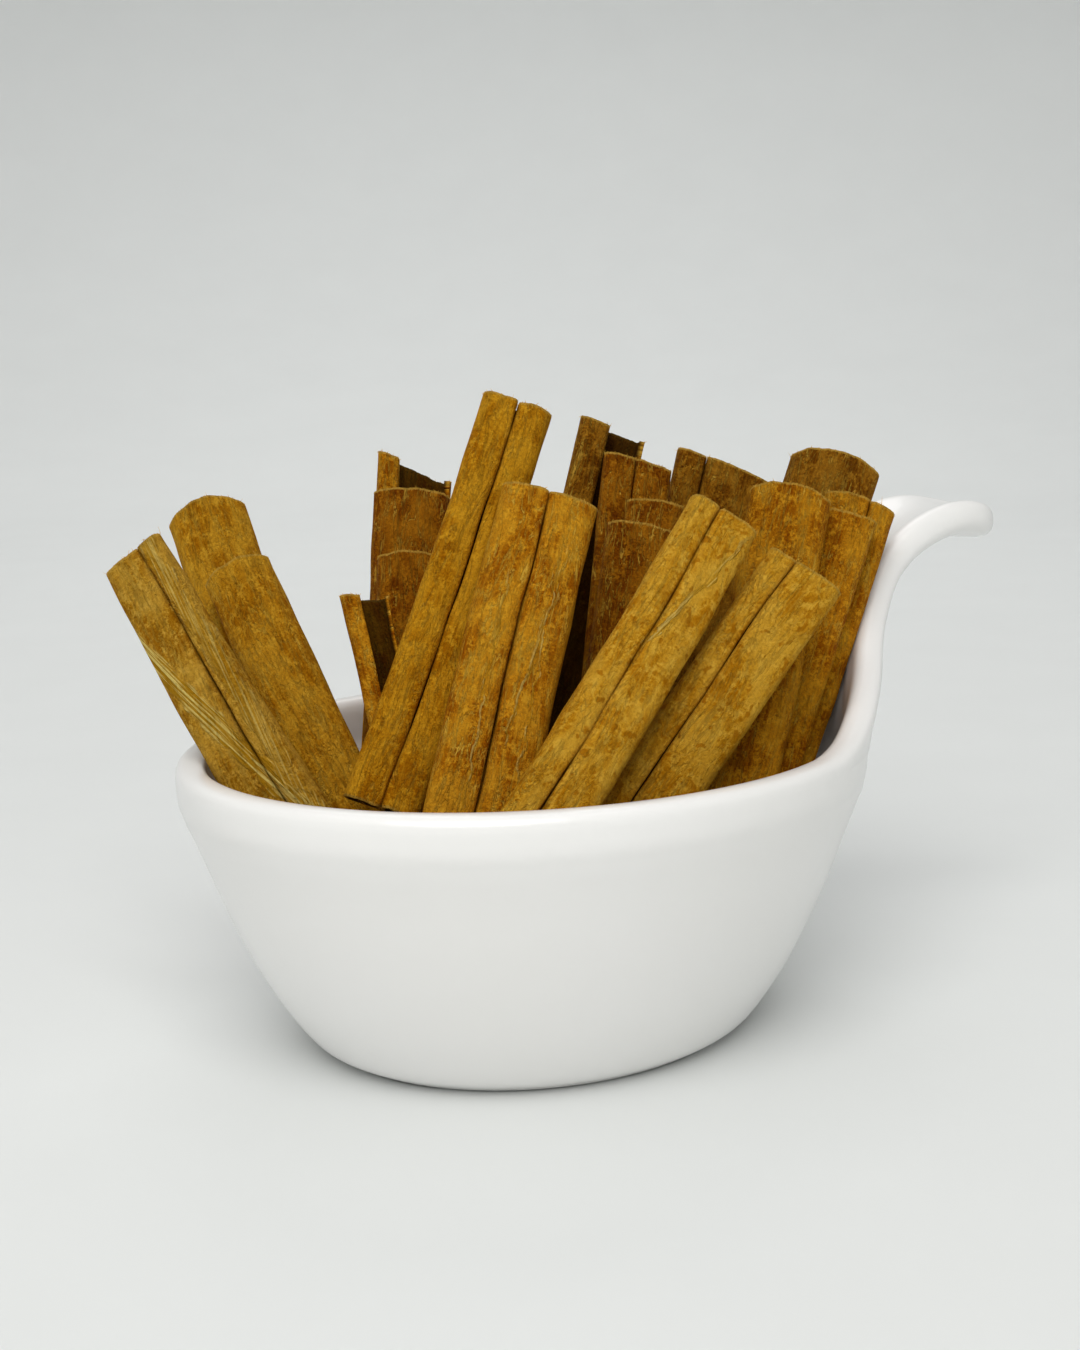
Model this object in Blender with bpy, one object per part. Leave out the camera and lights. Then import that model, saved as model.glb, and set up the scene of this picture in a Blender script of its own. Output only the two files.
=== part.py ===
"""An oval white glazed bowl with a curled lug, filled with leaning cassia cinnamon sticks.

Frame: the origin is the centre of the foot on the table, +X points along the bowl's long
axis towards the lug, and +Z is up. Sizes are in millimetres until they reach the mesh.
"""

import bpy
from math import asin, cos, pi, radians, sin
from mathutils import Vector

for old in list(bpy.data.objects):
    bpy.data.objects.remove(old)

MM = 0.001

# The bowl. A profile point is (radius across the short axis, height). The wall's own
# thickness isn't stretched by the oval above SKIN_FULL, and fully below SKIN_FROM.
OVAL = 1.163
WALL = 3.3
LIP = 3.9
BAND = (2.2, 4.8)
SKIN_FROM = 10.0
SKIN_FULL = 28.0
OUTSIDE = [
    (22.9, 0.0), (23.7, 0.15), (24.0, 0.6), (24.9, 0.9), (26.3, 2.1), (28.1, 4.8),
    (30.4, 9.0), (33.05, 15.0), (35.5, 21.5), (37.45, 27.3), (38.75, 31.1),
]
INSIDE = [
    (10.0, 4.0), (18.5, 4.1), (22.0, 4.9), (24.6, 7.2), (27.0, 11.0), (29.7, 16.0),
    (32.2, 22.0), (34.2, 28.0), (35.6, 32.1),
]

# The lug: the wall's middle line in the plane of symmetry as (distance out, height), and
# the lug's edge as (length along that line, half width).
LUG_LINE = [
    (43.3, 31.6), (43.8, 34.2), (43.9, 36.8), (44.4, 39.8), (45.7, 43.2), (48.2, 48.6),
    (51.9, 53.6), (56.6, 57.6), (61.9, 60.2), (67.4, 61.4), (72.8, 61.0),
]
LUG_EDGE = [
    (4.85, 32.5), (5.15, 31.2), (6.1, 28.4), (8.2, 24.4), (11.6, 18.8), (16.5, 13.2),
    (22.5, 9.4), (29.0, 7.2), (36.0, 6.2), (41.0, 5.9), (45.4, 5.0), (48.1, 3.0),
    (49.2, 0.0),
]
LUG_ANGLE = 60.0
LUG_THICKNESS = 4.6
LUG_THICK_OUT = (46.0, 60.0)
LUG_ROUND = 44.5
LUG_TURNED = 22.0
LUG_TROUGH = 0.8
LUG_TROUGH_LENGTH = (20.0, 34.0)
LUG_COLUMNS = 12
LUG_ROWS = 16
PLAIN_COLUMNS = 24
PLAIN_ROWS = 2
LIP_ROWS = 3
LIP_SQUARENESS = 2.6
LINE_STEPS = 12
SLOPE_REACH = 0.3

# A stick is one sheet of bark rolled in from both edges. Narrow sticks are thinner bark.
BARK = 0.85
NARROW_BARK = 0.075
COIL_GAP = 0.4
ROLL_DEPTH = 0.27
ROLL_ROUND = 1.3
ROLL_SQUARENESS = 2.6
ROLL_STEPS = 10
BACK_BOW = 0.07
BACK_STEPS = 3
SECTIONS = 3

# Sticks: name, foot and top of the middle line, width at foot and top, the compass angle
# of the wide side in degrees, the share of the first roll, the turns of each roll, finish.
STICKS = [
    ("stick_01", (-26, -6.8, 15), (-44.4, 20.4, 63.2), (11.8, 8.4),
     146, 0.62, (1.02, 0.84), "pale_bark"),
    ("stick_02", (-17.2, -6, 8.6), (-30.2, 22.2, 59.6), (9.4, 9),
     -26, 0.50, (1.02, 1.02), "bark"),
    ("stick_03", (-24.6, 8, 15.2), (-29.6, 34, 65.6), (10.4, 10.6),
     -27, 0.50, (1.02, 1.02), "bark"),
    ("stick_04", (-12.2, 19.2, 13.4), (0, 30.8, 71), (10.6, 10.6),
     153, 0.30, (0.90, 0.32), "bark"),
    ("stick_05", (-16.2, 11, 10.6), (-4.2, 23.6, 67.8), (10.2, 10.4),
     -26, 0.50, (1.02, 1.02), "bark"),
    ("stick_06", (-17.4, 1.2, 5.4), (-8.8, 16, 60.4), (8, 8.2),
     -25, 0.50, (1.02, 1.02), "bark"),
    ("stick_07", (-17.2, -13.6, 5.6), (-18.2, 9.8, 56.8), (5.6, 5.4),
     153, 0.45, (0.44, 0.34), "bark"),
    ("stick_08", (-23.6, -4.4, 33), (0.4, 2, 80.4), (9.6, 9.2),
     156, 0.50, (1.02, 1.02), "pale_bark"),
    ("stick_09", (-22.4, -18.4, 17), (-1.4, -8.6, 69.4), (13.2, 12),
     157, 0.47, (1.02, 1.02), "bark"),
    ("stick_10", (-19, -25.8, 27.6), (17.2, -18.6, 66.6), (9.8, 9.4),
     163, 0.40, (1.02, 1.02), "pale_bark"),
    ("stick_11", (-10.4, -20.8, 15.6), (26.4, -23.2, 59.6), (10.2, 10.4),
     152, 0.34, (1.02, 1.02), "pale_bark"),
    ("stick_12", (4.8, 15.2, 19.4), (25.2, 18.8, 75.6), (9.8, 9.8),
     151, 0.45, (0.95, 0.27), "dark_bark"),
    ("stick_13", (10.6, 1.4, 13.8), (24, 10.6, 71.4), (8.8, 8.8),
     148, 0.48, (1.02, 1.02), "bark"),
    ("stick_14", (6, -5.8, 9.2), (22, 3.4, 66.4), (7.8, 7.8),
     -32, 0.50, (1.02, 1.02), "bark"),
    ("stick_15", (-2.2, -10.2, 7.4), (16.2, -2, 64), (8.8, 8.8),
     -31, 0.50, (1.02, 1.02), "bark"),
    ("stick_16", (18.8, 7, 13.4), (39.2, 11.2, 69.6), (14.6, 14.8),
     147, 0.30, (0.84, 1.02), "dark_bark"),
    ("stick_17", (12.2, -21.6, 15.4), (32.6, -12.2, 67.6), (10.2, 10.4),
     -38, 0.50, (1.02, 1.02), "bark"),
    ("stick_18", (17.8, -19, 13.2), (41.8, -13.4, 64.6), (6.4, 6.8),
     -36, 0.50, (1.02, 1.02), "bark"),
    ("stick_19", (22.8, -4.8, 17.2), (50, 0.4, 69.8), (12.4, 12.6),
     -26, 0.50, (1.02, 1.02), "dark_bark"),
    ("stick_20", (19.4, -13.8, 12.4), (47, -8.6, 65.4), (9.6, 9.8),
     148, 0.62, (1.02, 0.92), "bark"),
]

# Finishes: colour, roughness, and the angle in degrees over which an edge is sharp.
FINISHES = {
    "glaze": ((0.86, 0.86, 0.84, 1.0), 0.12, 70.0),
    "bark": ((0.36, 0.17, 0.02, 1.0), 0.75, 40.0),
    "pale_bark": ((0.44, 0.25, 0.04, 1.0), 0.75, 40.0),
    "dark_bark": ((0.22, 0.11, 0.02, 1.0), 0.75, 40.0),
}


def smooth_line(points, steps):
    """A curve through the points, with the given number of steps between neighbours."""
    points = [Vector(p) for p in points]
    ends = [2 * points[0] - points[1]] + points + [2 * points[-1] - points[-2]]
    line = []
    for before, start, stop, after in zip(ends, ends[1:], ends[2:], ends[3:]):
        for step in range(steps):
            t = step / steps
            line.append(0.5 * (
                2 * start
                + (stop - before) * t
                + (2 * before - 5 * start + 4 * stop - after) * t * t
                + (3 * start - before - 3 * stop + after) * t ** 3
            ))
    return line + [points[-1]]


def ease(low, high, x):
    """0 below low, 1 above high, and a smooth step between."""
    t = min(max((x - low) / (high - low), 0.0), 1.0)
    return t * t * (3 - 2 * t)


class Track:
    """A flat curve that is read by the length along it."""

    def __init__(self, points):
        self.points = smooth_line(points, LINE_STEPS)
        self.lengths = [0.0]
        for a, b in zip(self.points, self.points[1:]):
            self.lengths.append(self.lengths[-1] + (b - a).length)
        self.total = self.lengths[-1]

    def at(self, length):
        for i in range(1, len(self.points)):
            if length <= self.lengths[i] or i == len(self.points) - 1:
                span = self.lengths[i] - self.lengths[i - 1]
                t = (length - self.lengths[i - 1]) / span
                return self.points[i - 1].lerp(self.points[i], t)

    def inward(self, length):
        """The unit normal on the side that faces into the bowl."""
        length = min(max(length, SLOPE_REACH), self.total - SLOPE_REACH)
        way = (self.at(length + SLOPE_REACH) - self.at(length - SLOPE_REACH)).normalized()
        return Vector((-way.y, way.x))


def new_object(name, points, faces, finish):
    """Adds a closed mesh of points in millimetres, with its own material."""
    colour, roughness, crease = FINISHES[finish]
    mesh = bpy.data.meshes.new(name)
    mesh.from_pydata([Vector(p) * MM for p in points], [], faces)
    mesh.validate()
    mesh.polygons.foreach_set("use_smooth", [True] * len(mesh.polygons))
    mesh.set_sharp_from_angle(angle=radians(crease))
    material = bpy.data.materials.new(name)
    material.use_nodes = True
    shader = material.node_tree.nodes["Principled BSDF"]
    shader.inputs["Base Color"].default_value = colour
    shader.inputs["Roughness"].default_value = roughness
    mesh.materials.append(material)
    made = bpy.data.objects.new(name, mesh)
    bpy.context.collection.objects.link(made)
    return made


def on_oval(radius, height, angle, skin=0.0):
    """A point of the oval wall. The skin is the part of the radius that isn't stretched."""
    across = Vector((cos(angle), sin(angle) * OVAL)).normalized() * skin
    radius -= skin
    return Vector((
        radius * OVAL * cos(angle) + across.x,
        radius * sin(angle) + across.y,
        height,
    ))


def lug_shares():
    """Where the lug's columns stand across it, from -1 at one edge to 1 at the other."""
    return [2 * i / LUG_COLUMNS - 1 for i in range(LUG_COLUMNS + 1)]


def column_angles():
    """Angles round the bowl: first the lug's columns, then the plain rest."""
    lug = [asin(share * sin(radians(LUG_ANGLE))) for share in lug_shares()]
    step = (2 * pi - 2 * radians(LUG_ANGLE)) / PLAIN_COLUMNS
    return lug + [radians(LUG_ANGLE) + step * i for i in range(1, PLAIN_COLUMNS)]


def lug_point(line, length, across):
    """A point of the lug's middle surface, which stays as round as the oval it rises from."""
    out, up = line.at(length)
    normal = line.inward(length)
    turned = ease(LUG_EDGE[0][0], LUG_TURNED, length)
    radius = min(out, LUG_ROUND)
    hollow = radius * (1 - (1 - (across * OVAL / radius) ** 2) ** 0.5)
    hollow *= 1 + LUG_TROUGH * ease(*LUG_TROUGH_LENGTH, length)
    return Vector((
        out + hollow * (normal.x * turned - (1 - turned)),
        across,
        up + hollow * normal.y * turned,
    ))


def join_rings(low, high):
    """Faces between two closed rings of point numbers."""
    count = len(low)
    return [
        (low[i], low[(i + 1) % count], high[(i + 1) % count], high[i])
        for i in range(count)
    ]


def upper_wall(angles):
    """The middle surface above the body: points, faces, lowest ring and free edge."""
    line, edge = Track(LUG_LINE), Track(LUG_EDGE)
    rise = LUG_EDGE[0][0]
    points, rows = [], []
    for row in range(PLAIN_ROWS + 1):
        out, up = line.at(rise * row / PLAIN_ROWS)
        rows.append(range(len(points), len(points) + len(angles)))
        points += [on_oval(out / OVAL, up, angle) for angle in angles]
    faces = [face for low, high in zip(rows, rows[1:]) for face in join_rings(low, high)]
    wide = LUG_COLUMNS + 1
    low = rows[-1][:wide]
    free = list(rows[-1][wide - 1:]) + [low[0]]
    left, right = [], []
    for row in range(1, LUG_ROWS):
        length, half = edge.at(edge.total * row / LUG_ROWS)
        high = range(len(points), len(points) + wide)
        points += [lug_point(line, length, half * share) for share in lug_shares()]
        faces += [(low[i], low[i + 1], high[i + 1], high[i]) for i in range(wide - 1)]
        right.append(high[0])
        left.append(high[-1])
        low = high
    tip = len(points)
    points.append(lug_point(line, LUG_EDGE[-1][0], 0))
    faces += [(low[i], low[i + 1], tip) for i in range(wide - 1)]
    return points, faces, list(rows[0]), free + right + [tip] + left[::-1]


def point_normals(points, faces):
    """The unit normal at each point, as the sum of its faces' normals."""
    sums = [Vector() for _ in points]
    for face in faces:
        a, b, c = (points[face[i]] for i in (0, 1, -1))
        normal = (b - a).cross(c - a)
        for index in face:
            sums[index] += normal
    return [total.normalized() for total in sums]


def half_thickness(point, edge_points):
    """Half the wall, which swells to a band along the free edge and stays thick in the lug."""
    near_edge = min((point - other).length for other in edge_points)
    band = (LIP - WALL) / 2 * (1 - ease(*BAND, near_edge))
    return WALL / 2 + max(band, (LUG_THICKNESS - WALL) / 2 * ease(*LUG_THICK_OUT, point.x))


def lip_rows(points, normals, edge, halves):
    """Rows of points that round the free edge off, from the outside over to the inside."""
    power = 2 / LIP_SQUARENESS
    rows = [[] for _ in range(LIP_ROWS)]
    for i, index in enumerate(edge):
        along = points[edge[(i + 1) % len(edge)]] - points[edge[i - 1]]
        away = normals[index].cross(along).normalized()
        for row in range(LIP_ROWS):
            turn = pi * (row + 1) / (LIP_ROWS + 1)
            across = abs(cos(turn)) ** power * (1 if cos(turn) > 0 else -1)
            way = normals[index] * across + away * sin(turn) ** power
            rows[row].append(points[index] + halves[index] * way)
    return rows


def make_bowl():
    angles = column_angles()
    middle, sheet, ring, edge = upper_wall(angles)
    normals = point_normals(middle, sheet)
    edge_points = [middle[i] for i in edge]
    halves = [half_thickness(p, edge_points) for p in middle]
    size = len(middle)
    points = [p + n * h for p, n, h in zip(middle, normals, halves)]
    points += [p - n * h for p, n, h in zip(middle, normals, halves)]
    faces = list(sheet)
    faces += [tuple(i + size for i in reversed(face)) for face in sheet]

    last = edge
    for row in lip_rows(middle, normals, edge, halves):
        new = range(len(points), len(points) + len(row))
        points += row
        faces += join_rings(last, new)
        last = new
    faces += join_rings(last, [i + size for i in edge])

    inner_ring = [i + size for i in ring]
    for profile, start, outside in ((OUTSIDE, ring, True), (INSIDE, inner_ring, False)):
        last = start
        for radius, height in profile[-2::-1]:
            new = range(len(points), len(points) + len(angles))
            skin = WALL / 2 * ease(SKIN_FROM, SKIN_FULL, height) * (1 if outside else -1)
            points += [on_oval(radius, height, angle, skin) for angle in angles]
            faces += join_rings(new, last) if outside else join_rings(last, new)
            last = new
        centre = len(points)
        points.append(Vector((0, 0, profile[0][1])))
        for i in range(len(angles)):
            pair = (last[i], last[(i + 1) % len(angles)])
            faces.append((centre,) + (pair[::-1] if outside else pair))
    return new_object("bowl", points, faces, "glaze")


def bark_of(width):
    """The thickness of the bark that a stick of this width is rolled from."""
    return min(BARK, NARROW_BARK * width)


def squared(part):
    """Pushes a circle's sine or cosine out towards a square's."""
    return abs(part) ** (2 / ROLL_SQUARENESS) * (1 if part > 0 else -1)


def roll_line(centre, half_width, depth, turns, bark):
    """Half of the sheet: from the middle of the back, round one roll and into its coil."""
    line = []
    pitch = bark + COIL_GAP
    for step in range(ROLL_STEPS + 1):
        turn = turns * 2 * pi * step / ROLL_STEPS
        inward = bark / 2 + pitch * min(max((turn - pi) / pi, 0.0), 1.0)
        inward += pitch * max(turn - 2 * pi, 0.0) / (2 * pi)
        x = centre + (half_width - inward) * squared(sin(turn))
        line.append(Vector((x, (inward - depth) * squared(cos(turn)))))
    return line


def stick_line(width, share, turns):
    """The middle of the rolled sheet, seen from the end, as flat points."""
    halves = []
    for half, turn in ((width * share / 2, turns[0]), (width * (1 - share) / 2, turns[1])):
        depth = min(width * ROLL_DEPTH, half * ROLL_ROUND)
        halves.append(roll_line(width / 2 - half, half - COIL_GAP / 2, depth, turn, bark_of(width)))
    right, left = halves
    left = [Vector((-p.x, p.y)) for p in left]
    back = [right[0].lerp(left[0], i / BACK_STEPS) for i in range(1, BACK_STEPS)]
    line = right[::-1] + back + left
    for point in line:
        bow = BACK_BOW * width * (1 - (2 * point.x / width) ** 2)
        point.y += BACK_BOW * width / 2 - (bow if point.y < 0 else 0)
    return line


def ribbon(line, bark):
    """Gives a flat line the thickness of the bark, and returns its two sides."""
    sides = ([], [])
    for i, point in enumerate(line):
        way = (line[min(i + 1, len(line) - 1)] - line[max(i - 1, 0)]).normalized()
        normal = Vector((-way.y, way.x))
        sides[0].append(point + normal * bark / 2)
        sides[1].append(point - normal * bark / 2)
    return sides


def make_stick(name, foot, top, widths, side, share, turns, finish):
    foot, top = Vector(foot), Vector(top)
    axis = (top - foot).normalized()
    side = Vector((cos(radians(side)), sin(radians(side)), 0))
    side = (side - axis * side.dot(axis)).normalized()
    front = axis.cross(side)
    points, rings = [], []
    for k in range(SECTIONS):
        t = k / (SECTIONS - 1)
        width = widths[0] + (widths[1] - widths[0]) * t
        one, two = ribbon(stick_line(width, share, turns), bark_of(width))
        ring = one + two[::-1]
        rings.append(range(len(points), len(points) + len(ring)))
        points += [foot.lerp(top, t) + side * p.x + front * p.y for p in ring]
    faces = []
    size = len(rings[0])
    for low, high in zip(rings, rings[1:]):
        for i in range(size):
            j = (i + 1) % size
            faces.append((low[i], high[i], high[j], low[j]))
    for i in range(size // 2 - 1):
        across = (i, i + 1, size - 2 - i, size - 1 - i)
        faces.append(tuple(rings[0][k] for k in across))
        faces.append(tuple(rings[-1][k] for k in reversed(across)))
    return new_object(name, points, faces, finish)


make_bowl()
for stick in STICKS:
    make_stick(*stick)
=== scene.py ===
# %% [markdown]
# # A bowl of cinnamon sticks
#
# The object is a small oval serving bowl of white glazed china. Its rim climbs at one end
# into a tall lug whose tip curls outwards like a spout. Some twenty sticks of cassia
# cinnamon lean in it. A cassia stick is one sheet of bark that rolled itself in from both
# edges while it dried, so it shows two rolls side by side with a groove between them.
#
# The imported solid model is the frame: it says where each piece is and how big it is. This
# notebook gives every one of its pieces a finer mesh and a finish. It starts by loading
# the frame. The finer pieces have to stay inside that box.

# %% Load the frame
import random
from math import asin, cos, pi, radians, sin, sqrt

import bpy
import numpy as np
from mathutils import Matrix, Vector, kdtree, noise


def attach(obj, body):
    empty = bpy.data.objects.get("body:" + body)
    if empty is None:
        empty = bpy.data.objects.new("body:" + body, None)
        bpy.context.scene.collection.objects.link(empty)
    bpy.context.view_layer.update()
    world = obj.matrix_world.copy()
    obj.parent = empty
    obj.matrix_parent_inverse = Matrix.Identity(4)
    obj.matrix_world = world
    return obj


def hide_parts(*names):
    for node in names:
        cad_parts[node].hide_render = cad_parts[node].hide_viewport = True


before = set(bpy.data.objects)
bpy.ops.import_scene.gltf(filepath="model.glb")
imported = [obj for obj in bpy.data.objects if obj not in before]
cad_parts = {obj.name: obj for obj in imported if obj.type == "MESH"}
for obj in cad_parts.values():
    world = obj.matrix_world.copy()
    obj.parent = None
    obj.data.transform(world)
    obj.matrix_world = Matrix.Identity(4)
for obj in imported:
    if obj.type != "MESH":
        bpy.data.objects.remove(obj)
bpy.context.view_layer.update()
MM = 0.001

# %% [markdown]
# ## Sums between shader nodes
#
# A finish is a small sum: so much of this colour where the fibres are, less gloss where
# the cut end is. In Blender's editor each sum is a node with wires. Written one by one
# they hide the idea, so a small class wraps one output socket, and Python's own + - * /
# add the nodes. Numbers alone never become nodes: Python works them out first.

# %% A wire that can be added and multiplied
COLOUR_IN, COLOUR_OUT = (6, 7), 2


def feed(tree, socket, value):
    """Links a wire to a socket, or sets a plain value on it."""
    if isinstance(value, Wire):
        tree.links.new(value.socket, socket)
    else:
        socket.default_value = value


class Wire:
    """One output of a shader node. Sums with it add the nodes that work them out."""

    def __init__(self, socket):
        self.socket = socket

    def join(self, operation, other, flipped=False):
        tree = self.socket.id_data
        kinds = [self.socket.type]
        if isinstance(other, Wire):
            kinds.append(other.socket.type)
        elif isinstance(other, tuple):
            kinds.append("VECTOR" if len(other) == 3 else "RGBA")
        pair = (other, self) if flipped else (self, other)
        if "RGBA" in kinds:
            node = tree.nodes.new("ShaderNodeMix")
            node.data_type, node.blend_type = "RGBA", operation
            node.inputs[0].default_value = 1
            sockets, out = [node.inputs[i] for i in COLOUR_IN], node.outputs[COLOUR_OUT]
            width = 4
        else:
            width = 3 if "VECTOR" in kinds else 1
            node = tree.nodes.new("ShaderNodeVectorMath" if width == 3 else "ShaderNodeMath")
            node.operation = operation
            sockets, out = node.inputs, node.outputs[0]
        for socket, value in zip(sockets, pair):
            if isinstance(value, (int, float)) and width > 1:
                value = (value,) * 3 + (1,) * (width - 3)
            feed(tree, socket, value)
        return Wire(out)

    def __add__(self, other):
        return self.join("ADD", other)

    def __sub__(self, other):
        return self.join("SUBTRACT", other)

    def __rsub__(self, other):
        return self.join("SUBTRACT", other, flipped=True)

    def __mul__(self, other):
        return self.join("MULTIPLY", other)

    __radd__, __rmul__ = __add__, __mul__


# %% [markdown]
# A finish is a material whose shader starts with its constant values set. One method adds
# any other node: its type, its settings, then the values or wires of its sockets. Three
# short ones name the nodes that come again and again: noise, a ramp between two levels,
# and a blend of two colours.

# %% A finish and its nodes
class Finish:
    """A material in the making."""

    def __init__(self, name, **constants):
        self.material = bpy.data.materials.new(name)
        self.material.use_nodes = True
        self.tree = self.material.node_tree
        self.shader = self.tree.nodes["Principled BSDF"]
        for socket, value in constants.items():
            self.shader.inputs[socket.replace("_", " ").title().replace("Ior", "IOR")].default_value = value

    def node(self, kind, settings, sockets, output=0):
        node = self.tree.nodes.new("ShaderNode" + kind)
        for name, value in settings.items():
            setattr(node, name, value)
        for name, value in sockets.items():
            feed(self.tree, node.inputs[name], value)
        return Wire(node.outputs[output])

    def attribute(self, name, output):
        """A value that is kept on the mesh's points: output 1 is a vector, 2 a number."""
        return self.node("Attribute", {"attribute_name": name}, {}, output)

    def noise(self, place, scale, detail=3.0, roughness=0.5, distortion=0.0):
        sockets = {"Vector": place, "Scale": scale, "Detail": detail,
                   "Roughness": roughness, "Distortion": distortion}
        return self.node("TexNoise", {}, sockets)

    def ramp(self, value, low, high, bottom=0.0, top=1.0):
        """bottom below low, top above high, and a smooth step between."""
        sockets = {"Value": value, "From Min": low, "From Max": high,
                   "To Min": bottom, "To Max": top}
        return self.node("MapRange", {"interpolation_type": "SMOOTHSTEP"}, sockets)

    def blend(self, share, one, two, way="MIX"):
        """Colour one where share is 0 and colour two where it is 1."""
        settings = {"data_type": "RGBA", "blend_type": way}
        sockets = {0: share, COLOUR_IN[0]: one, COLOUR_IN[1]: two}
        return self.node("Mix", settings, sockets, COLOUR_OUT)

    def paint(self, socket, value):
        feed(self.tree, self.shader.inputs[socket], value)

    def emboss(self, height, distance, strength=1.0):
        """Raised detail that is too fine for the mesh."""
        sockets = {"Height": height, "Distance": distance, "Strength": strength}
        self.paint("Normal", self.node("Bump", {}, sockets))


def tint(red, green, blue):
    """A colour as the eye reads it, from 0 to 255, turned into amounts of light."""
    parts = [c / 255 for c in (red, green, blue)]
    return tuple(c / 12.92 if c <= 0.04045 else ((c + 0.055) / 1.055) ** 2.4 for c in parts) + (1.0,)


print("a middle grey of 128 is", round(tint(128, 128, 128)[0], 3), "of the light")

# %% [markdown]
# ## The camera
#
# The camera stands a little above the rim and looks slightly down, turned 30 degrees off
# the bowl's short side, so that the lug shows in profile at the right. It leans by just
# over one degree, as a camera held in the hand does.

# %% Camera
CAMERA_AT = Vector((-117.1, -205.8, 90.4)) * MM
CAMERA_TURN, CAMERA_DOWN, CAMERA_LEAN = -30.0, 10.58, -1.22
CAMERA_LENS, CAMERA_SENSOR = 50.0, 36.0

camera_data = bpy.data.cameras.new("camera")
camera_data.lens, camera_data.sensor_width = CAMERA_LENS, CAMERA_SENSOR
camera_data.clip_start, camera_data.clip_end = 0.01, 20
camera = bpy.data.objects.new("camera", camera_data)
bpy.context.scene.collection.objects.link(camera)
camera.matrix_world = (
    Matrix.Translation(CAMERA_AT)
    @ Matrix.Rotation(radians(CAMERA_TURN), 4, "Z")
    @ Matrix.Rotation(radians(90 - CAMERA_DOWN), 4, "X")
    @ Matrix.Rotation(radians(CAMERA_LEAN), 4, "Z")
)
bpy.context.scene.camera = camera
print("camera", round((camera.location).length / MM), "mm from the middle of the foot")

# %% [markdown]
# ## Curves to build on
#
# Both the bowl and the sticks are swept from a few points. `smooth_line` runs a curve
# through them, and `Track` reads that curve by the length along it, as a tape laid on the
# wall would. `ease` is the soft step that lets one form grow out of another.

# %% Curves
def ease(low, high, x):
    """0 below low, 1 above high, and a smooth step between."""
    t = min(max((x - low) / (high - low), 0.0), 1.0)
    return t * t * (3 - 2 * t)


def smooth_line(points, steps):
    """A curve through the points, with the given number of steps between neighbours."""
    points = [Vector(p) for p in points]
    ends = [2 * points[0] - points[1]] + points + [2 * points[-1] - points[-2]]
    line = []
    for before, start, stop, after in zip(ends, ends[1:], ends[2:], ends[3:]):
        for step in range(steps):
            t = step / steps
            line.append(0.5 * (
                2 * start
                + (stop - before) * t
                + (2 * before - 5 * start + 4 * stop - after) * t * t
                + (3 * start - before - 3 * stop + after) * t ** 3
            ))
    return line + [points[-1]]


class Track:
    """A flat curve that is read by the length along it."""

    def __init__(self, points):
        self.points = smooth_line(points, 12)
        self.lengths = [0.0]
        for a, b in zip(self.points, self.points[1:]):
            self.lengths.append(self.lengths[-1] + (b - a).length)
        self.total = self.lengths[-1]

    def at(self, length):
        for i in range(1, len(self.points)):
            if length <= self.lengths[i] or i == len(self.points) - 1:
                span = self.lengths[i] - self.lengths[i - 1]
                t = (length - self.lengths[i - 1]) / span
                return self.points[i - 1].lerp(self.points[i], t)

    def inward(self, length):
        """The unit normal on the side that faces into the bowl."""
        length = min(max(length, 0.3), self.total - 0.3)
        way = (self.at(length + 0.3) - self.at(length - 0.3)).normalized()
        return Vector((-way.y, way.x))


# %% A mesh made a piece of the object
def new_piece(name, points, faces, finish, node, place=None):
    """Adds a mesh of points in millimetres that stands for a piece of the solid model."""
    mesh = bpy.data.meshes.new(name)
    mesh.from_pydata([Vector(p) * MM for p in points], [], faces)
    mesh.polygons.foreach_set("use_smooth", [True] * len(mesh.polygons))
    mesh.materials.append(finish.material)
    piece = bpy.data.objects.new(name, mesh)
    bpy.context.scene.collection.objects.link(piece)
    if place:
        piece.matrix_world = place
    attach(piece, "root")
    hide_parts(node)
    return piece


# %% [markdown]
# ## The glaze
#
# White china glaze is a thin coat of glass over a white body. It isn't perfectly even: it
# pools a little thicker in places, which shows as a slow wave in the reflections, and it
# is very slightly warmer where it is thick. A clear coat over a soft white base gives the
# depth, and two sizes of noise give the wave and a trace of orange peel.

# %% Glaze
GLAZE_WHITE = tint(238, 237, 236)
GLAZE_THICK = tint(233, 232, 229)
GLAZE_WAVE = 0.00004

glaze = Finish("white_glaze", IOR=1.5, coat_weight=0.35, coat_roughness=0.08)
spot = glaze.node("TexCoord", {}, {}, 3)
pooling = glaze.noise(spot, 28.0, detail=2.0)
peel = glaze.noise(spot, 420.0, detail=1.0)
glaze.paint("Base Color", glaze.blend(pooling, GLAZE_WHITE, GLAZE_THICK))
glaze.paint("Roughness", pooling * 0.1 + 0.26)
glaze.emboss(peel, GLAZE_WAVE)
print("glaze:", len(glaze.tree.nodes), "nodes")

# %% [markdown]
# ## The bowl
#
# A potter would throw or cast this bowl and pull the lug up from the soft wall, so wall
# and lug are one skin of clay. The mesh follows that. The body is a ring of points carried
# down the outside and the inside profile, stretched to an oval. Above it the middle
# surface of the wall is made first: rows of columns that rise all round, then climb on
# only at the lug, narrowing to its tip. That surface is given its thickness, and its free
# edge is rounded over. A lathe form with a handle joined on would leave a crease, where
# here the rim runs up in one sweep.

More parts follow.
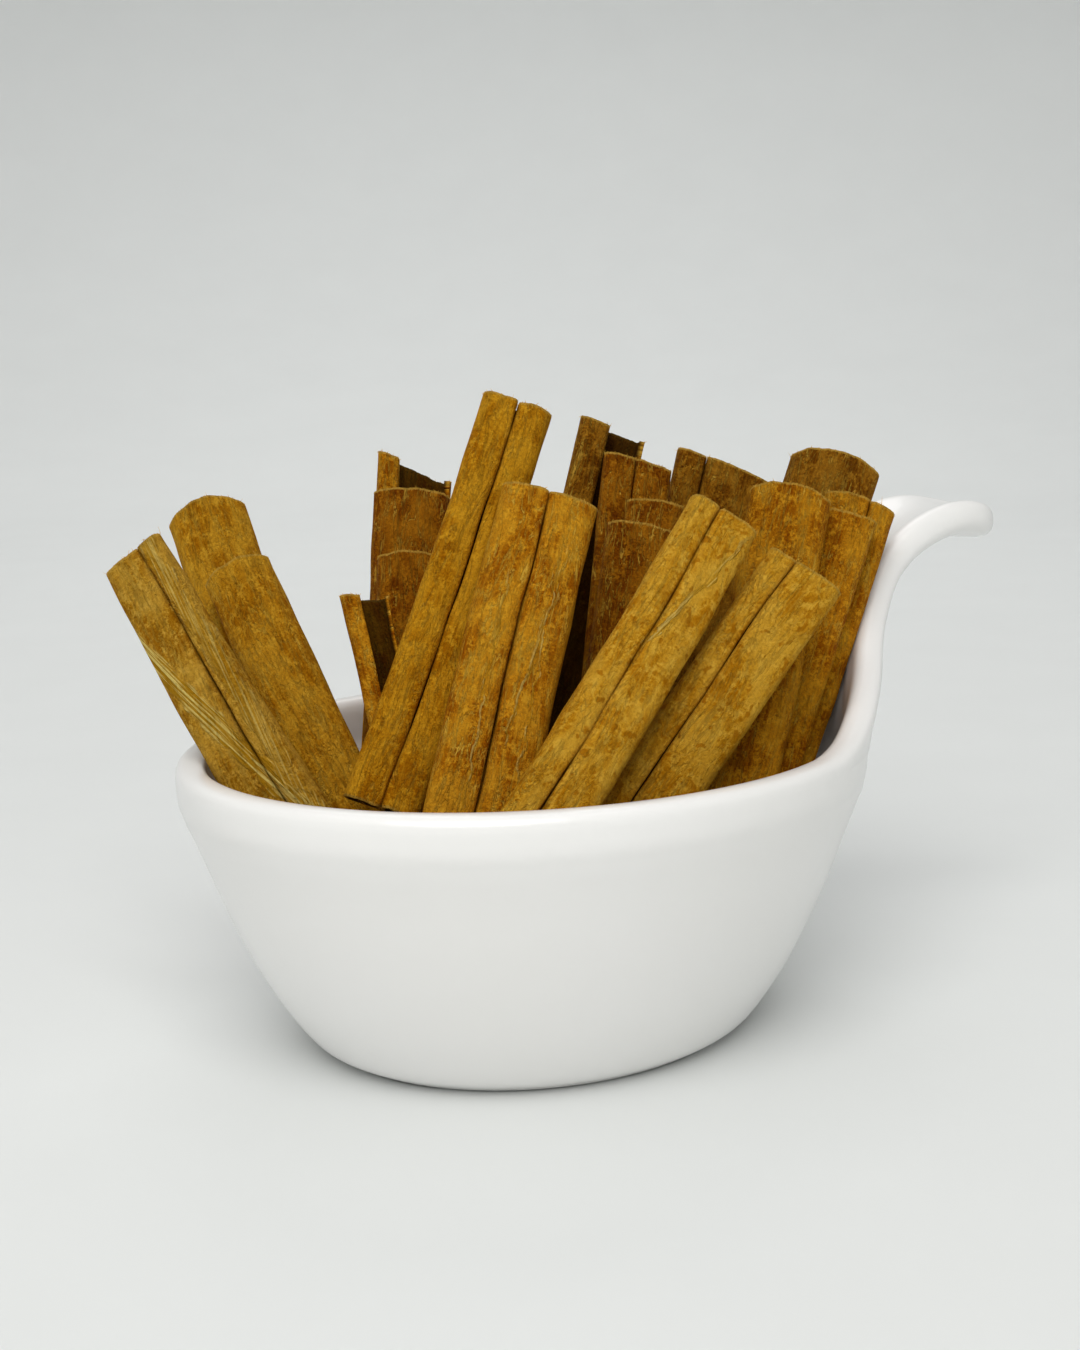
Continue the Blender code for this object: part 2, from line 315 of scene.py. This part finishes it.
# %% Bowl sizes, in millimetres
OVAL = 1.163
WALL, LIP, LUG_THICKNESS = 3.3, 3.9, 4.6
OUTSIDE = [
    (22.9, 0.0), (23.7, 0.15), (24.0, 0.6), (24.9, 0.9), (26.3, 2.1), (28.1, 4.8),
    (30.4, 9.0), (33.05, 15.0), (35.5, 21.5), (37.45, 27.3), (38.75, 31.1),
]
INSIDE = [
    (10.0, 4.0), (18.5, 4.1), (22.0, 4.9), (24.6, 7.2), (27.0, 11.0), (29.7, 16.0),
    (32.2, 22.0), (34.2, 28.0), (35.6, 32.1),
]
LUG_LINE = [
    (43.3, 31.6), (43.8, 34.2), (43.9, 36.8), (44.4, 39.8), (45.7, 43.2), (48.2, 48.6), (51.9, 53.6), (56.6, 57.6),
    (61.9, 60.2), (67.4, 61.4), (72.8, 61.0),
]
LUG_EDGE = [
    (4.85, 32.5), (5.15, 31.2), (6.1, 28.4), (8.2, 24.4), (11.6, 18.8), (16.5, 13.2),
    (22.5, 9.4), (29.0, 7.2), (36.0, 6.2), (41.0, 5.9), (45.4, 5.0), (48.1, 3.0),
    (49.2, 0.0),
]
LUG_ANGLE = 60.0
LUG_COLUMNS, PLAIN_COLUMNS = 40, 84
LUG_ROWS, PLAIN_ROWS, LIP_ROWS = 56, 7, 9
LIP_SQUARENESS = 2.6
BAND = (2.2, 4.8)
SKIN_FROM, SKIN_FULL = 10.0, 28.0
PROFILE_STEPS = 4


# %% The middle surface of the wall
def on_oval(radius, height, angle, skin=0.0):
    """A point of the oval wall. The skin is the part of the radius that isn't stretched."""
    across = Vector((cos(angle), sin(angle) * OVAL)).normalized() * skin
    radius -= skin
    return Vector((radius * OVAL * cos(angle) + across.x, radius * sin(angle) + across.y, height))


def lug_shares():
    """Where the lug's columns stand across it, from -1 at one edge to 1 at the other."""
    return [2 * i / LUG_COLUMNS - 1 for i in range(LUG_COLUMNS + 1)]


def column_angles():
    """Angles round the bowl: first the lug's columns, then the plain rest."""
    lug = [asin(share * sin(radians(LUG_ANGLE))) for share in lug_shares()]
    step = (2 * pi - 2 * radians(LUG_ANGLE)) / PLAIN_COLUMNS
    return lug + [radians(LUG_ANGLE) + step * i for i in range(1, PLAIN_COLUMNS)]


def lug_point(line, length, across):
    """A point of the lug's middle surface, which stays as round as the oval it rises from."""
    out, up = line.at(length)
    normal = line.inward(length)
    turned = ease(LUG_EDGE[0][0], 22, length)
    radius = min(out, 44.5)
    hollow = radius * (1 - sqrt(max(1 - (across * OVAL / radius) ** 2, 0.02)))
    hollow *= 1 + 0.8 * ease(20, 34, length)
    return Vector((
        out + hollow * (normal.x * turned - (1 - turned)),
        across,
        up + hollow * normal.y * turned,
    ))


def upper_wall(angles):
    """The middle surface above the body: points, faces, lowest ring and free edge."""
    line, edge = Track(LUG_LINE), Track(LUG_EDGE)
    rise = LUG_EDGE[0][0]
    points, rows = [], []
    for row in range(PLAIN_ROWS + 1):
        out, up = line.at(rise * row / PLAIN_ROWS)
        rows.append(range(len(points), len(points) + len(angles)))
        points += [on_oval(out / OVAL, up, angle) for angle in angles]
    faces = [face for low, high in zip(rows, rows[1:]) for face in join_rings(low, high)]
    wide = LUG_COLUMNS + 1
    low = rows[-1][:wide]
    free = list(rows[-1][wide - 1:]) + [low[0]]
    left, right = [], []
    for row in range(1, LUG_ROWS):
        length, half = edge.at(edge.total * row / LUG_ROWS)
        high = range(len(points), len(points) + wide)
        points += [lug_point(line, length, half * share) for share in lug_shares()]
        faces += [(low[i], low[i + 1], high[i + 1], high[i]) for i in range(wide - 1)]
        right.append(high[0])
        left.append(high[-1])
        low = high
    tip = len(points)
    points.append(lug_point(line, LUG_EDGE[-1][0], 0))
    faces += [(low[i], low[i + 1], tip) for i in range(wide - 1)]
    return points, faces, list(rows[0]), free + right + [tip] + left[::-1]


def join_rings(low, high):
    """Faces between two closed rings of point numbers."""
    count = len(low)
    return [
        (low[i], low[(i + 1) % count], high[(i + 1) % count], high[i])
        for i in range(count)
    ]


# %% Thickness and rounded edge
def point_normals(points, faces):
    """The unit normal at each point, as the sum of its faces' normals."""
    sums = [Vector() for _ in points]
    for face in faces:
        a, b, c = (points[face[i]] for i in (0, 1, -1))
        normal = (b - a).cross(c - a)
        for index in face:
            sums[index] += normal
    return [total.normalized() for total in sums]


def half_thickness(point, near_edge):
    """Half the wall, which swells to a band along the free edge and stays thick in the lug."""
    band = (LIP - WALL) / 2 * (1 - ease(*BAND, near_edge))
    return WALL / 2 + max(band, (LUG_THICKNESS - WALL) / 2 * ease(46, 60, point.x))


def lip_rows(points, normals, edge, halves):
    """Rows of points that round the free edge off, from the outside over to the inside."""
    rows = [[] for _ in range(LIP_ROWS)]
    for i, index in enumerate(edge):
        along = points[edge[(i + 1) % len(edge)]] - points[edge[i - 1]]
        away = normals[index].cross(along).normalized()
        for row in range(LIP_ROWS):
            turn = pi * (row + 1) / (LIP_ROWS + 1)
            power = 2 / LIP_SQUARENESS
            across = abs(cos(turn)) ** power * (1 if cos(turn) > 0 else -1)
            way = normals[index] * across + away * sin(turn) ** power
            rows[row].append(points[index] + halves[index] * way)
    return rows


def make_bowl():
    angles = column_angles()
    middle, sheet, ring, edge = upper_wall(angles)
    normals = point_normals(middle, sheet)
    tree = kdtree.KDTree(len(edge))
    for i, index in enumerate(edge):
        tree.insert(middle[index], i)
    tree.balance()
    halves = [half_thickness(p, tree.find(p)[2]) for p in middle]
    size = len(middle)
    points = [p + n * h for p, n, h in zip(middle, normals, halves)]
    points += [p - n * h for p, n, h in zip(middle, normals, halves)]
    faces = list(sheet)
    faces += [tuple(i + size for i in reversed(face)) for face in sheet]

    last = edge
    for row in lip_rows(middle, normals, edge, halves):
        new = range(len(points), len(points) + len(row))
        points += row
        faces += join_rings(last, new)
        last = new
    faces += join_rings(last, [i + size for i in edge])

    for profile, start, outside in ((OUTSIDE, ring, True), (INSIDE, [i + size for i in ring], False)):
        last = start
        for radius, height in smooth_line(profile, PROFILE_STEPS)[-2::-1]:
            new = range(len(points), len(points) + len(angles))
            skin = WALL / 2 * ease(SKIN_FROM, SKIN_FULL, height) * (1 if outside else -1)
            points += [on_oval(radius, height, angle, skin) for angle in angles]
            faces += join_rings(new, last) if outside else join_rings(last, new)
            last = new
        centre = len(points)
        points.append(Vector((0, 0, profile[0][1])))
        for i in range(len(angles)):
            pair = (last[i], last[(i + 1) % len(angles)])
            faces.append((centre,) + (pair[::-1] if outside else pair))
    return new_piece("china_bowl", points, faces, glaze, "bowl")


bowl = make_bowl()
print("bowl:", len(bowl.data.polygons), "faces")

# %% [markdown]
# ## The shape of a stick
#
# Seen from its end, a stick is a line: it starts inside one coil, comes out and round the
# roll, crosses the back and goes round into the other coil. The sheet is that line with
# the thickness of the bark. The line is worked out at every height, because the stick
# tapers and its groove wanders, and the points of neighbouring heights are joined. Both
# ends of the sheet are a sawn cut, which is ragged.

# %% The line of a rolled sheet
BARK, NARROW_BARK = 0.85, 0.075
COIL_GAP = 0.4
COIL_START = 1.5
GROOVE_GAP = 0.1
ROLL_DEPTH, ROLL_ROUND = 0.27, 1.3
ROLL_SQUARENESS, GROOVE_SQUARENESS = 2.5, 7.0
BACK_BOW = 0.07
SHEET_POINTS, SHEET_ROWS = 110, 90
LINE_STEPS, BACK_STEPS = 80, 12


def bark_of(width):
    """The thickness of the bark that a stick of this width is rolled from."""
    return min(BARK, NARROW_BARK * width)


def squared(part, squareness):
    """Pushes a circle's sine or cosine out towards a square's."""
    return np.sign(part) * np.abs(part) ** (2 / squareness)


def sheet_line(width, share, turns):
    """The middle line of the rolled bark, seen from the end, and the length along it."""
    bark = bark_of(width)
    parts = []
    for half, turn, way in ((share * width / 2, turns[0], 1), ((1 - share) * width / 2, turns[1], -1)):
        angle = np.linspace(0, turn * 2 * pi, LINE_STEPS)
        inward = np.clip(angle / pi - COIL_START, 0, 2 - COIL_START) / (2 - COIL_START)
        inward += np.clip(angle / (2 * pi) - 1, 0, None)
        inward = inward * (bark + COIL_GAP) + bark / 2
        squareness = np.where(angle < pi, ROLL_SQUARENESS, GROOVE_SQUARENESS)
        wide = half - GROOVE_GAP / 2 - inward
        deep = min(width * ROLL_DEPTH, half * ROLL_ROUND) - inward
        x = way * (width / 2 - half + wide * squared(np.sin(angle), squareness))
        parts.append(np.stack([x, -deep * squared(np.cos(angle), squareness)], 1))
    back = np.linspace(parts[0][0], parts[1][0], BACK_STEPS)[1:-1]
    line = np.concatenate([parts[0][::-1], back, parts[1]])
    bow = BACK_BOW * width * (1 - (2 * line[:, 0] / width) ** 2)
    line[:, 1] += BACK_BOW * width / 2 - bow * (line[:, 1] < 0)
    steps = np.linalg.norm(np.diff(line, axis=0), axis=1)
    run = np.concatenate([[0], np.cumsum(steps)])
    even = np.linspace(0, run[-1], SHEET_POINTS)
    return np.stack([np.interp(even, run, line[:, i]) for i in range(2)], 1), even


# %% The sheet as a closed mesh
RIDGE, LUMP, WRINKLE = 0.16, 0.13, 0.05
NOTCH, FRAY = 0.2, 0.09
STICK_BOW, GROOVE_WANDER = 0.45, 0.05
CUT_DEPTH = 0.8
SHEET_APART = 60.0
FIBRE_STEPS, FIBRE_RADIUS, FIBRE_BEND = 6, 0.045, 0.35
FIBRE_LENGTH = (0.5, 1.6)
FUZZ, FUZZ_LENGTH = 40, (0.12, 0.4)


def sheet_normals(line):
    """The unit normal of a flat line at each of its points."""
    way = np.gradient(line, axis=0)
    way /= np.linalg.norm(way, axis=1)[:, None]
    return np.stack([-way[:, 1], way[:, 0]], 1)


def rough(u, v, seed, fine, long):
    """Noise from -1 to 1 whose grain is fine across the bark and long along it."""
    return noise.noise(Vector((u / fine, v / long, seed)))


def add_fibre(points, faces, root, way, length, rng):
    """A frayed fibre: a thin three-sided tube that bends and ends in a point."""
    bend = Vector([rng.uniform(-1, 1) for _ in range(3)]) * FIBRE_BEND
    along = way.normalized()
    aside = along.orthogonal().normalized()
    last = None
    for step in range(FIBRE_STEPS):
        t = step / (FIBRE_STEPS - 1)
        middle = root + along * length * t + bend * length * t * t
        radius = FIBRE_RADIUS * (1 - 0.8 * t)
        new = range(len(points), len(points) + 3)
        for corner in range(3):
            turn = Matrix.Rotation(2 * pi * corner / 3, 3, along)
            points.append(tuple(middle + turn @ aside * radius))
        if last:
            faces += join_rings(last, new)
        else:
            faces.append((new[2], new[1], new[0]))
        last = new
    faces.append(tuple(last))


def make_stick(name, foot, top, widths, side, shares, turns, cut_shape, fibres, seed, finish, slot):
    foot, top = Vector(foot), Vector(top)
    length = (top - foot).length
    axis = (top - foot).normalized()
    side = Vector((cos(radians(side)), sin(radians(side)), 0))
    side = (side - axis * side.dot(axis)).normalized()
    front = axis.cross(side)
    points, sheet, cut, rings = [], [], [], []
    for row in range(SHEET_ROWS):
        t = row / (SHEET_ROWS - 1)
        width = widths[0] + (widths[1] - widths[0]) * t
        wander = GROOVE_WANDER * noise.noise(Vector((t * 3, seed, 0)))
        share = shares[0] + (shares[1] - shares[0]) * t + wander
        bark = bark_of(width)
        line, run = sheet_line(width, share, turns)
        normals = sheet_normals(line)
        bow = STICK_BOW * sin(pi * t) * (1 if seed % 2 else -1)
        rings.append(range(len(points), len(points) + 2 * SHEET_POINTS))
        for outside in (1, -1):
            order = range(SHEET_POINTS) if outside == 1 else reversed(range(SHEET_POINTS))
            for i in order:
                x, y = line[i]
                u, v = run[i] - run[-1] / 2, t * length
                wave = RIDGE * rough(u, v, seed, 2.4, 16.0) + LUMP * rough(u, v, seed + 3, 5.0, 6.0)
                if outside == 1:
                    wave += WRINKLE * rough(u, v, seed + 31, 0.7, 4.0)
                edge = NOTCH * rough(u, 0, seed + 7, 1.7, 1) + FRAY * rough(u, 0, seed + 9, 0.35, 1)
                crown, slant = cut_shape
                raised = crown * (1 - (2 * x / width) ** 2) + slant * x / width
                raised *= ease(0.5, 1.0, t)
                height = v + raised + edge * (ease(0.9, 1.0, t) - ease(0.1, 0.0, t))
                offset = outside * bark / 2 + wave
                points.append((x + normals[i, 0] * offset + bow, y + normals[i, 1] * offset, height))
                sheet.append((u + SHEET_APART * seed, v, outside))
                cut.append(max(0.0, 1 - min(length - v, v) / CUT_DEPTH))
    faces = []
    size = 2 * SHEET_POINTS
    for low, high in zip(rings, rings[1:]):
        faces += join_rings(low, high)
    for ring, top_end in ((rings[0], False), (rings[-1], True)):
        for i in range(SHEET_POINTS - 1):
            face = (ring[i], ring[i + 1], ring[size - 2 - i], ring[size - 1 - i])
            faces.append(face if top_end else face[::-1])
    rng = random.Random(seed)
    for number in range(fibres + FUZZ):
        root = rings[-1][rng.randrange(SHEET_POINTS)]
        way = Vector((rng.uniform(-1, 1), rng.uniform(-1, 1), rng.uniform(0.2, 1.5)))
        reach = FIBRE_LENGTH if number < fibres else FUZZ_LENGTH
        add_fibre(points, faces, Vector(points[root]), way, rng.uniform(*reach), rng)
        sheet += [sheet[root]] * (len(points) - len(sheet))
        cut += [1.0] * (len(points) - len(cut))
    place = Matrix((side, front, axis)).transposed().to_4x4()
    place.translation = foot * MM
    piece = new_piece(name, points, faces, finish, name.replace("bark_", "stick_"), place)
    kept = piece.data.attributes.new("sheet", "FLOAT_VECTOR", "POINT")
    kept.data.foreach_set("vector", np.array(sheet, np.float32).ravel())
    kept = piece.data.attributes.new("cut", "FLOAT", "POINT")
    kept.data.foreach_set("value", np.array(cut, np.float32))
    return piece


# %% [markdown]
# ## Bark
#
# Peeled cassia bark is golden brown and full of fine fibres that run along the stick. The
# fibres catch the light as pale raised threads, the valleys between them are darker and
# redder, and there are granular specks of cork left from the outer bark. The sawn ends are
# paler, because the fresh inner wood shows there. The inside face of the rolled sheet is
# painted almost black, as painted shade for the inside of the coils.

# %% Bark finishes
CUT_PALE = tint(226, 178, 76)
THREAD_PALE = tint(255, 208, 84)
# Painted shade: the colour that the inside face of the sheet is darkened to, standing for the shade inside the coils.
COIL_PAINTED_SHADE = tint(40, 16, 1)


def bark_finish(name, pale, middle, dark, threads=0.6, spots=0.0, splits=()):
    bark = Finish(name, IOR=1.4, specular_ior_level=0.05)
    sheet = bark.attribute("sheet", 1)
    cut = bark.attribute("cut", 2)
    side = bark.node("SeparateXYZ", {}, {"Vector": sheet}, 2)
    grain = bark.noise(sheet * (1.0, 0.8, 0.0), 3.0, detail=4.0, roughness=0.8)
    mottle = bark.noise(sheet * (1.0, 0.7, 0.0), 0.9, detail=5.0, roughness=0.7)
    patch = bark.noise(sheet * (1.0, 0.5, 0.0), 0.28, detail=2.0)
    streak = bark.noise(sheet * (1.0, 0.06, 0.0), 2.2, detail=4.0, roughness=0.65)
    wander = bark.noise(sheet * (1.0, 0.14, 0.0), 0.9, detail=4.0, roughness=0.6, distortion=1.1)
    thread = bark.node("Math", {"operation": "ABSOLUTE"}, {0: wander - 0.5})
    thread = bark.ramp(thread, 0.0, 0.026, 1.0, 0.0)
    colour = bark.blend(bark.ramp(grain, 0.35, 0.62), dark, middle)
    colour = bark.blend(bark.ramp(mottle + grain * 0.5, 0.72, 0.92, 0.0, 0.7), colour, pale)
    colour = bark.blend(bark.ramp(mottle + patch * 0.8, 0.7, 0.9, 0.6, 0.0), colour, dark)
    colour = bark.blend(bark.ramp(patch, 0.4, 0.65, 0.0, 0.4), colour, pale)
    colour = bark.blend(bark.ramp(streak, 0.45, 0.68, 0.0, 0.3), colour, pale)
    shown = bark.ramp(bark.noise(sheet * (1.0, 0.5, 0.0), 0.5, detail=2.0), 0.38, 0.56, 0.1, threads)
    thread_colour = tuple((a + 2 * b) / 3 for a, b in zip(pale, THREAD_PALE))
    colour = bark.blend(thread * shown * bark.ramp(grain, 0.33, 0.5, 0.3, 1.0), colour, thread_colour)
    spot = bark.noise(sheet * (1.0, 0.8, 0.0), 0.8, detail=2.0)
    colour = bark.blend(bark.ramp(spot, 0.6, 0.67, 0.0, spots), colour, dark)
    height = grain + thread * 0.5 + streak * 0.4 + mottle * 0.5
    for split in splits:
        colour, height = add_split(bark, colour, height, *split)
    colour = bark.blend(bark.ramp(cut + grain * 0.8, 0.95, 1.2, 0.0, 0.8), colour, CUT_PALE)
    # Painted shade: the inside face of the rolled sheet goes almost black, as if in the shade of the coils.
    colour = bark.blend(bark.ramp(side, -1.0, 1.0, 0.85, 0.0), colour, COIL_PAINTED_SHADE)
    bark.paint("Base Color", colour)
    bark.paint("Roughness", bark.ramp(grain, 0.3, 0.7, 0.9, 0.72))
    bark.emboss(height, 0.0009)
    return bark


def add_split(bark, colour, height, slope, start, wide, lean, shown, reach):
    """A band where the skin has torn off, so that long straight fibres show slantwise."""
    place = bark.node("TexCoord", {}, {}, 3)
    across = bark.node("SeparateXYZ", {}, {"Vector": place}, 0) * 1000.0
    along = bark.node("SeparateXYZ", {}, {"Vector": place}, 2) * 1000.0
    waver = bark.noise(bark.node("CombineXYZ", {}, {0: across * 0.1, 1: along * 0.35}), 1.0, detail=3.0)
    offset = across - along * slope - start + (waver - 0.5) * SPLIT_WAVER
    distance = bark.node("Math", {"operation": "ABSOLUTE"}, {0: offset})
    inside = bark.ramp(distance, wide * 0.7, wide, 1.0, 0.0) * bark.ramp(along, reach[0], reach[0] + SPLIT_FADE)
    inside = inside * bark.ramp(along, reach[1] - SPLIT_FADE, reach[1], 1.0, 0.0)
    line = bark.node("CombineXYZ", {}, {0: across - along * lean, 1: along * 0.03})
    strands = bark.noise(line, 3.2, detail=3.0, roughness=0.6, distortion=0.3)
    strand_colour = bark.blend(bark.ramp(strands, 0.46, 0.62), SPLIT_DARK, SPLIT_PALE)
    return bark.blend(inside * shown, colour, strand_colour), height + strands * inside * 1.2


SPLIT_FADE, SPLIT_WAVER = 3.0, 2.6
BARE_BANDS = [(0.27, -7.7, 1.5, 0.27, 0.95, (-5, 70)), (0.02, -3.6, 1.3, -0.1, 0.45, (-5, 70))]
CREASES = [(-0.24, 8.5, 0.3, -0.24, 0.6, (32, 54))]
WRINKLES = [(-0.12, 2.6, 0.2, -0.12, 0.45, (25, 52)), (0.05, -4.6, 0.16, 0.05, 0.45, (20, 50)),
            (0.02, 2.2, 0.16, 0.02, 0.45, (16, 48))]
SPLIT_DARK, SPLIT_PALE = tint(196, 142, 24), tint(255, 228, 130)

FINISHES = {
    "pale": (bark_finish("pale_bark", tint(255, 202, 74), tint(232, 168, 32), tint(192, 120, 4), 0.5, 0.8),
             "pale_bark"),
    "creased": (bark_finish("creased_bark", tint(255, 202, 74), tint(232, 168, 32), tint(192, 120, 4), 0.5, 0.8,
                            splits=CREASES), "pale_bark"),
    "split": (bark_finish("split_bark", tint(242, 192, 78), tint(210, 154, 34), tint(160, 98, 0), 0.4,
                          splits=BARE_BANDS),
              "pale_bark"),
    "smooth": (bark_finish("smooth_bark", tint(248, 184, 44), tint(216, 146, 12), tint(168, 98, 0), 0.35),
               "pale_bark"),
    "tan": (bark_finish("tan_bark", tint(246, 188, 56), tint(216, 148, 16), tint(166, 98, 2), 0.6),
            "bark"),
    "fibrous": (bark_finish("fibrous_bark", tint(255, 190, 50), tint(216, 136, 6), tint(154, 78, 0), 1.0,
                            splits=WRINKLES),
                "bark"),
    "golden": (bark_finish("golden_bark", tint(250, 182, 44), tint(208, 130, 4), tint(146, 72, 0), 0.95),
               "bark"),
    # Painted shade: the "deep" look is the golden bark made darker for the sticks that stand in shade in the middle
    # and at the back.
    "deep": (bark_finish("deep_bark", tint(208, 138, 28), tint(166, 92, 2), tint(104, 46, 0), 0.9),
             "bark"),
    "brown": (bark_finish("brown_bark", tint(204, 144, 42), tint(166, 104, 10), tint(104, 52, 0), 0.7),
              "dark_bark"),
}

# %% [markdown]
# ## The sticks
#
# Each row is one stick: where its foot and its top are, how wide it is at both, which way
# its wide side faces, where the groove runs and how far each roll turns. Then come the
# crown and the slant of its top cut, how many long fibres stand out of that cut, and its
# look. The places are those of the solid model.

# %% Sticks
# The look "deep" is golden bark darkened as painted shade, for the sticks that stand in shade.
STICKS = [
    ((-26, -6.8, 15), (-44.4, 20.4, 63.2), (11.8, 8.4), 146, (0.62, 0.62), (1.02, 0.84), (0.0, -1.2), 8, "split"),
    ((-17.2, -6, 8.6), (-30.2, 22.2, 59.6), (9.4, 9), -26, (0.50, 0.50), (1.02, 1.02), (1.3, 0.0), 0, "tan"),
    ((-24.6, 8, 15.2), (-29.6, 34, 65.6), (10.4, 10.6), -27, (0.50, 0.50), (1.02, 1.02), (2.2, 0.0), 1, "tan"),
    ((-12.2, 19.2, 13.4), (0, 30.8, 71), (10.6, 10.6), 153, (0.30, 0.30), (0.90, 0.32), (0.0, 4.0), 0, "golden"),
    ((-16.2, 11, 10.6), (-4.2, 23.6, 67.8), (10.2, 10.4), -26, (0.50, 0.50), (1.02, 1.02), (0.6, 0.0), 0, "deep"),
    ((-17.4, 1.2, 5.4), (-8.8, 16, 60.4), (8, 8.2), -25, (0.50, 0.50), (1.02, 1.02), (0.7, 0.0), 0, "deep"),
    ((-17.2, -13.6, 5.6), (-18.2, 9.8, 56.8), (3.6, 6.2), 153, (0.45, 0.45), (0.66, 0.30), (0.0, 1.5), 0, "golden"),
    ((-23.6, -4.4, 33), (0.4, 2, 80.4), (9.6, 9.2), 156, (0.50, 0.50), (1.02, 1.02), (0.0, 0.0), 0, "smooth"),
    ((-22.4, -18.4, 17), (-1.4, -8.6, 69.4), (13.2, 12), 157, (0.47, 0.47), (1.02, 1.02), (0.3, 0.6), 3, "fibrous"),
    ((-19, -25.8, 27.6), (17.2, -18.6, 66.6), (9.8, 9.4), 163, (0.40, 0.40), (1.02, 1.02), (0.0, 0.0), 0, "creased"),
    ((-10.4, -20.8, 15.6), (26.4, -23.2, 59.6), (10.2, 10.4), 152, (0.34, 0.34), (1.02, 1.02), (0.0, 0.0), 0, "pale"),
    ((4.8, 15.2, 19.4), (25.2, 18.8, 75.6), (9.8, 9.8), 151, (0.45, 0.45), (0.95, 0.27), (0.0, 1.4), 0, "brown"),
    ((10.6, 1.4, 13.8), (24, 10.6, 71.4), (8.8, 9.4), 148, (0.48, 0.48), (1.02, 1.02), (0.2, 2.0), 0, "deep"),
    ((6, -5.8, 9.2), (22, 3.4, 66.4), (7.8, 7.8), -32, (0.50, 0.50), (1.02, 1.02), (0.3, 0.0), 0, "deep"),
    ((-2.2, -10.2, 7.4), (16.2, -2, 64), (8.8, 8.8), -31, (0.50, 0.50), (1.02, 1.02), (0.4, 0.0), 0, "deep"),
    ((18.8, 7, 13.4), (39.2, 11.2, 69.6), (14.6, 14.8), 147, (0.30, 0.30), (0.84, 1.02), (0.3, 2.6), 1, "brown"),
    ((12.2, -21.6, 15.4), (32.6, -12.2, 67.6), (10.2, 10.4), -38, (0.50, 0.50), (1.02, 1.02), (1.3, 0.0), 0, "golden"),
    ((17.8, -19, 13.2), (41.8, -13.4, 64.6), (6.4, 6.8), -36, (0.50, 0.50), (1.02, 1.02), (0.2, 0.0), 0, "golden"),
    ((22.8, -4.8, 17.2), (50, 0.4, 69.8), (12.4, 12.6), -26, (0.50, 0.50), (1.02, 1.02), (1.6, 0.8), 4, "brown"),
    ((19.4, -13.8, 12.4), (47, -8.6, 65.4), (9.6, 9.8), 148, (0.62, 0.62), (1.02, 0.92), (0.7, 0.0), 8, "golden"),
]

for number, (foot, top, widths, side, shares, turns, cut_shape, fibres, look) in enumerate(STICKS, 1):
    make_stick(f"bark_{number:02d}", foot, top, widths, side, shares, turns, cut_shape, fibres, number,
               *FINISHES[look])
print(len(STICKS), "sticks")

# %% [markdown]
# ## Floor, backdrop and light
#
# The bowl stands on seamless white paper that curves up behind it, so that no horizon
# shows. Here the paper is a wide shallow dish, which looks the same from every side. The
# light is one large soft window above and to the front left, with a weaker fill.

# %% Paper dish
def make_backdrop():
    profile = [(0.0, 0.0), (0.55, 0.0), (0.75, 0.02), (0.95, 0.1), (1.1, 0.25), (1.2, 0.5), (1.22, 1.0)]
    line = smooth_line([Vector((r, h)) for r, h in profile], 8)[1:]
    count = 96
    points = [Vector((0, 0, 0))]
    faces = []
    last = None
    for radius, height in line:
        new = range(len(points), len(points) + count)
        points += [Vector((radius * cos(2 * pi * i / count), radius * sin(2 * pi * i / count), height))
                   for i in range(count)]
        if last is None:
            faces += [(0, new[i], new[(i + 1) % count]) for i in range(count)]
        else:
            faces += join_rings(new, last)
        last = new
    mesh = bpy.data.meshes.new("paper")
    mesh.from_pydata(points, [], faces)
    mesh.polygons.foreach_set("use_smooth", [True] * len(mesh.polygons))
    paper = Finish("paper", roughness=0.8, specular_ior_level=0.2)
    fleck = paper.noise(paper.node("TexCoord", {}, {}, 3), 30.0)
    paper.paint("Base Color", paper.blend(fleck, tint(222, 224, 223), tint(226, 228, 227)))
    mesh.materials.append(paper.material)
    made = bpy.data.objects.new("paper", mesh)
    bpy.context.scene.collection.objects.link(made)
    return made


make_backdrop()


# %% Lights
def soft_light(name, place, aim, size, watts, colour, spread=pi):
    data = bpy.data.lights.new(name, "AREA")
    data.shape, data.size, data.energy, data.color = "DISK", size, watts, colour
    data.spread = spread
    light = bpy.data.objects.new(name, data)
    light.location = place
    light.rotation_euler = (Vector(aim) - Vector(place)).to_track_quat("-Z", "Y").to_euler()
    bpy.context.scene.collection.objects.link(light)


soft_light("window", (-0.37, -0.52, 0.76), (0, 0, 0.03), 0.8, 6.8, (1.0, 0.99, 0.97))
soft_light("ceiling", (-0.1, 0.0, 1.1), (0, 0, 0), 1.2, 2.6, (1.0, 1.0, 1.0))
soft_light("paper_light", (0.32, 0.57, 0.7), (0.29, 0.52, 0), 0.6, 1.0, (1.0, 1.0, 1.0), 2.2)

world = bpy.data.worlds.new("room")
world.use_nodes = True
world.node_tree.nodes["Background"].inputs["Color"].default_value = (1, 1, 1, 1)
world.node_tree.nodes["Background"].inputs["Strength"].default_value = 0.22
bpy.context.scene.world = world
bpy.context.scene.view_settings.view_transform = "Standard"
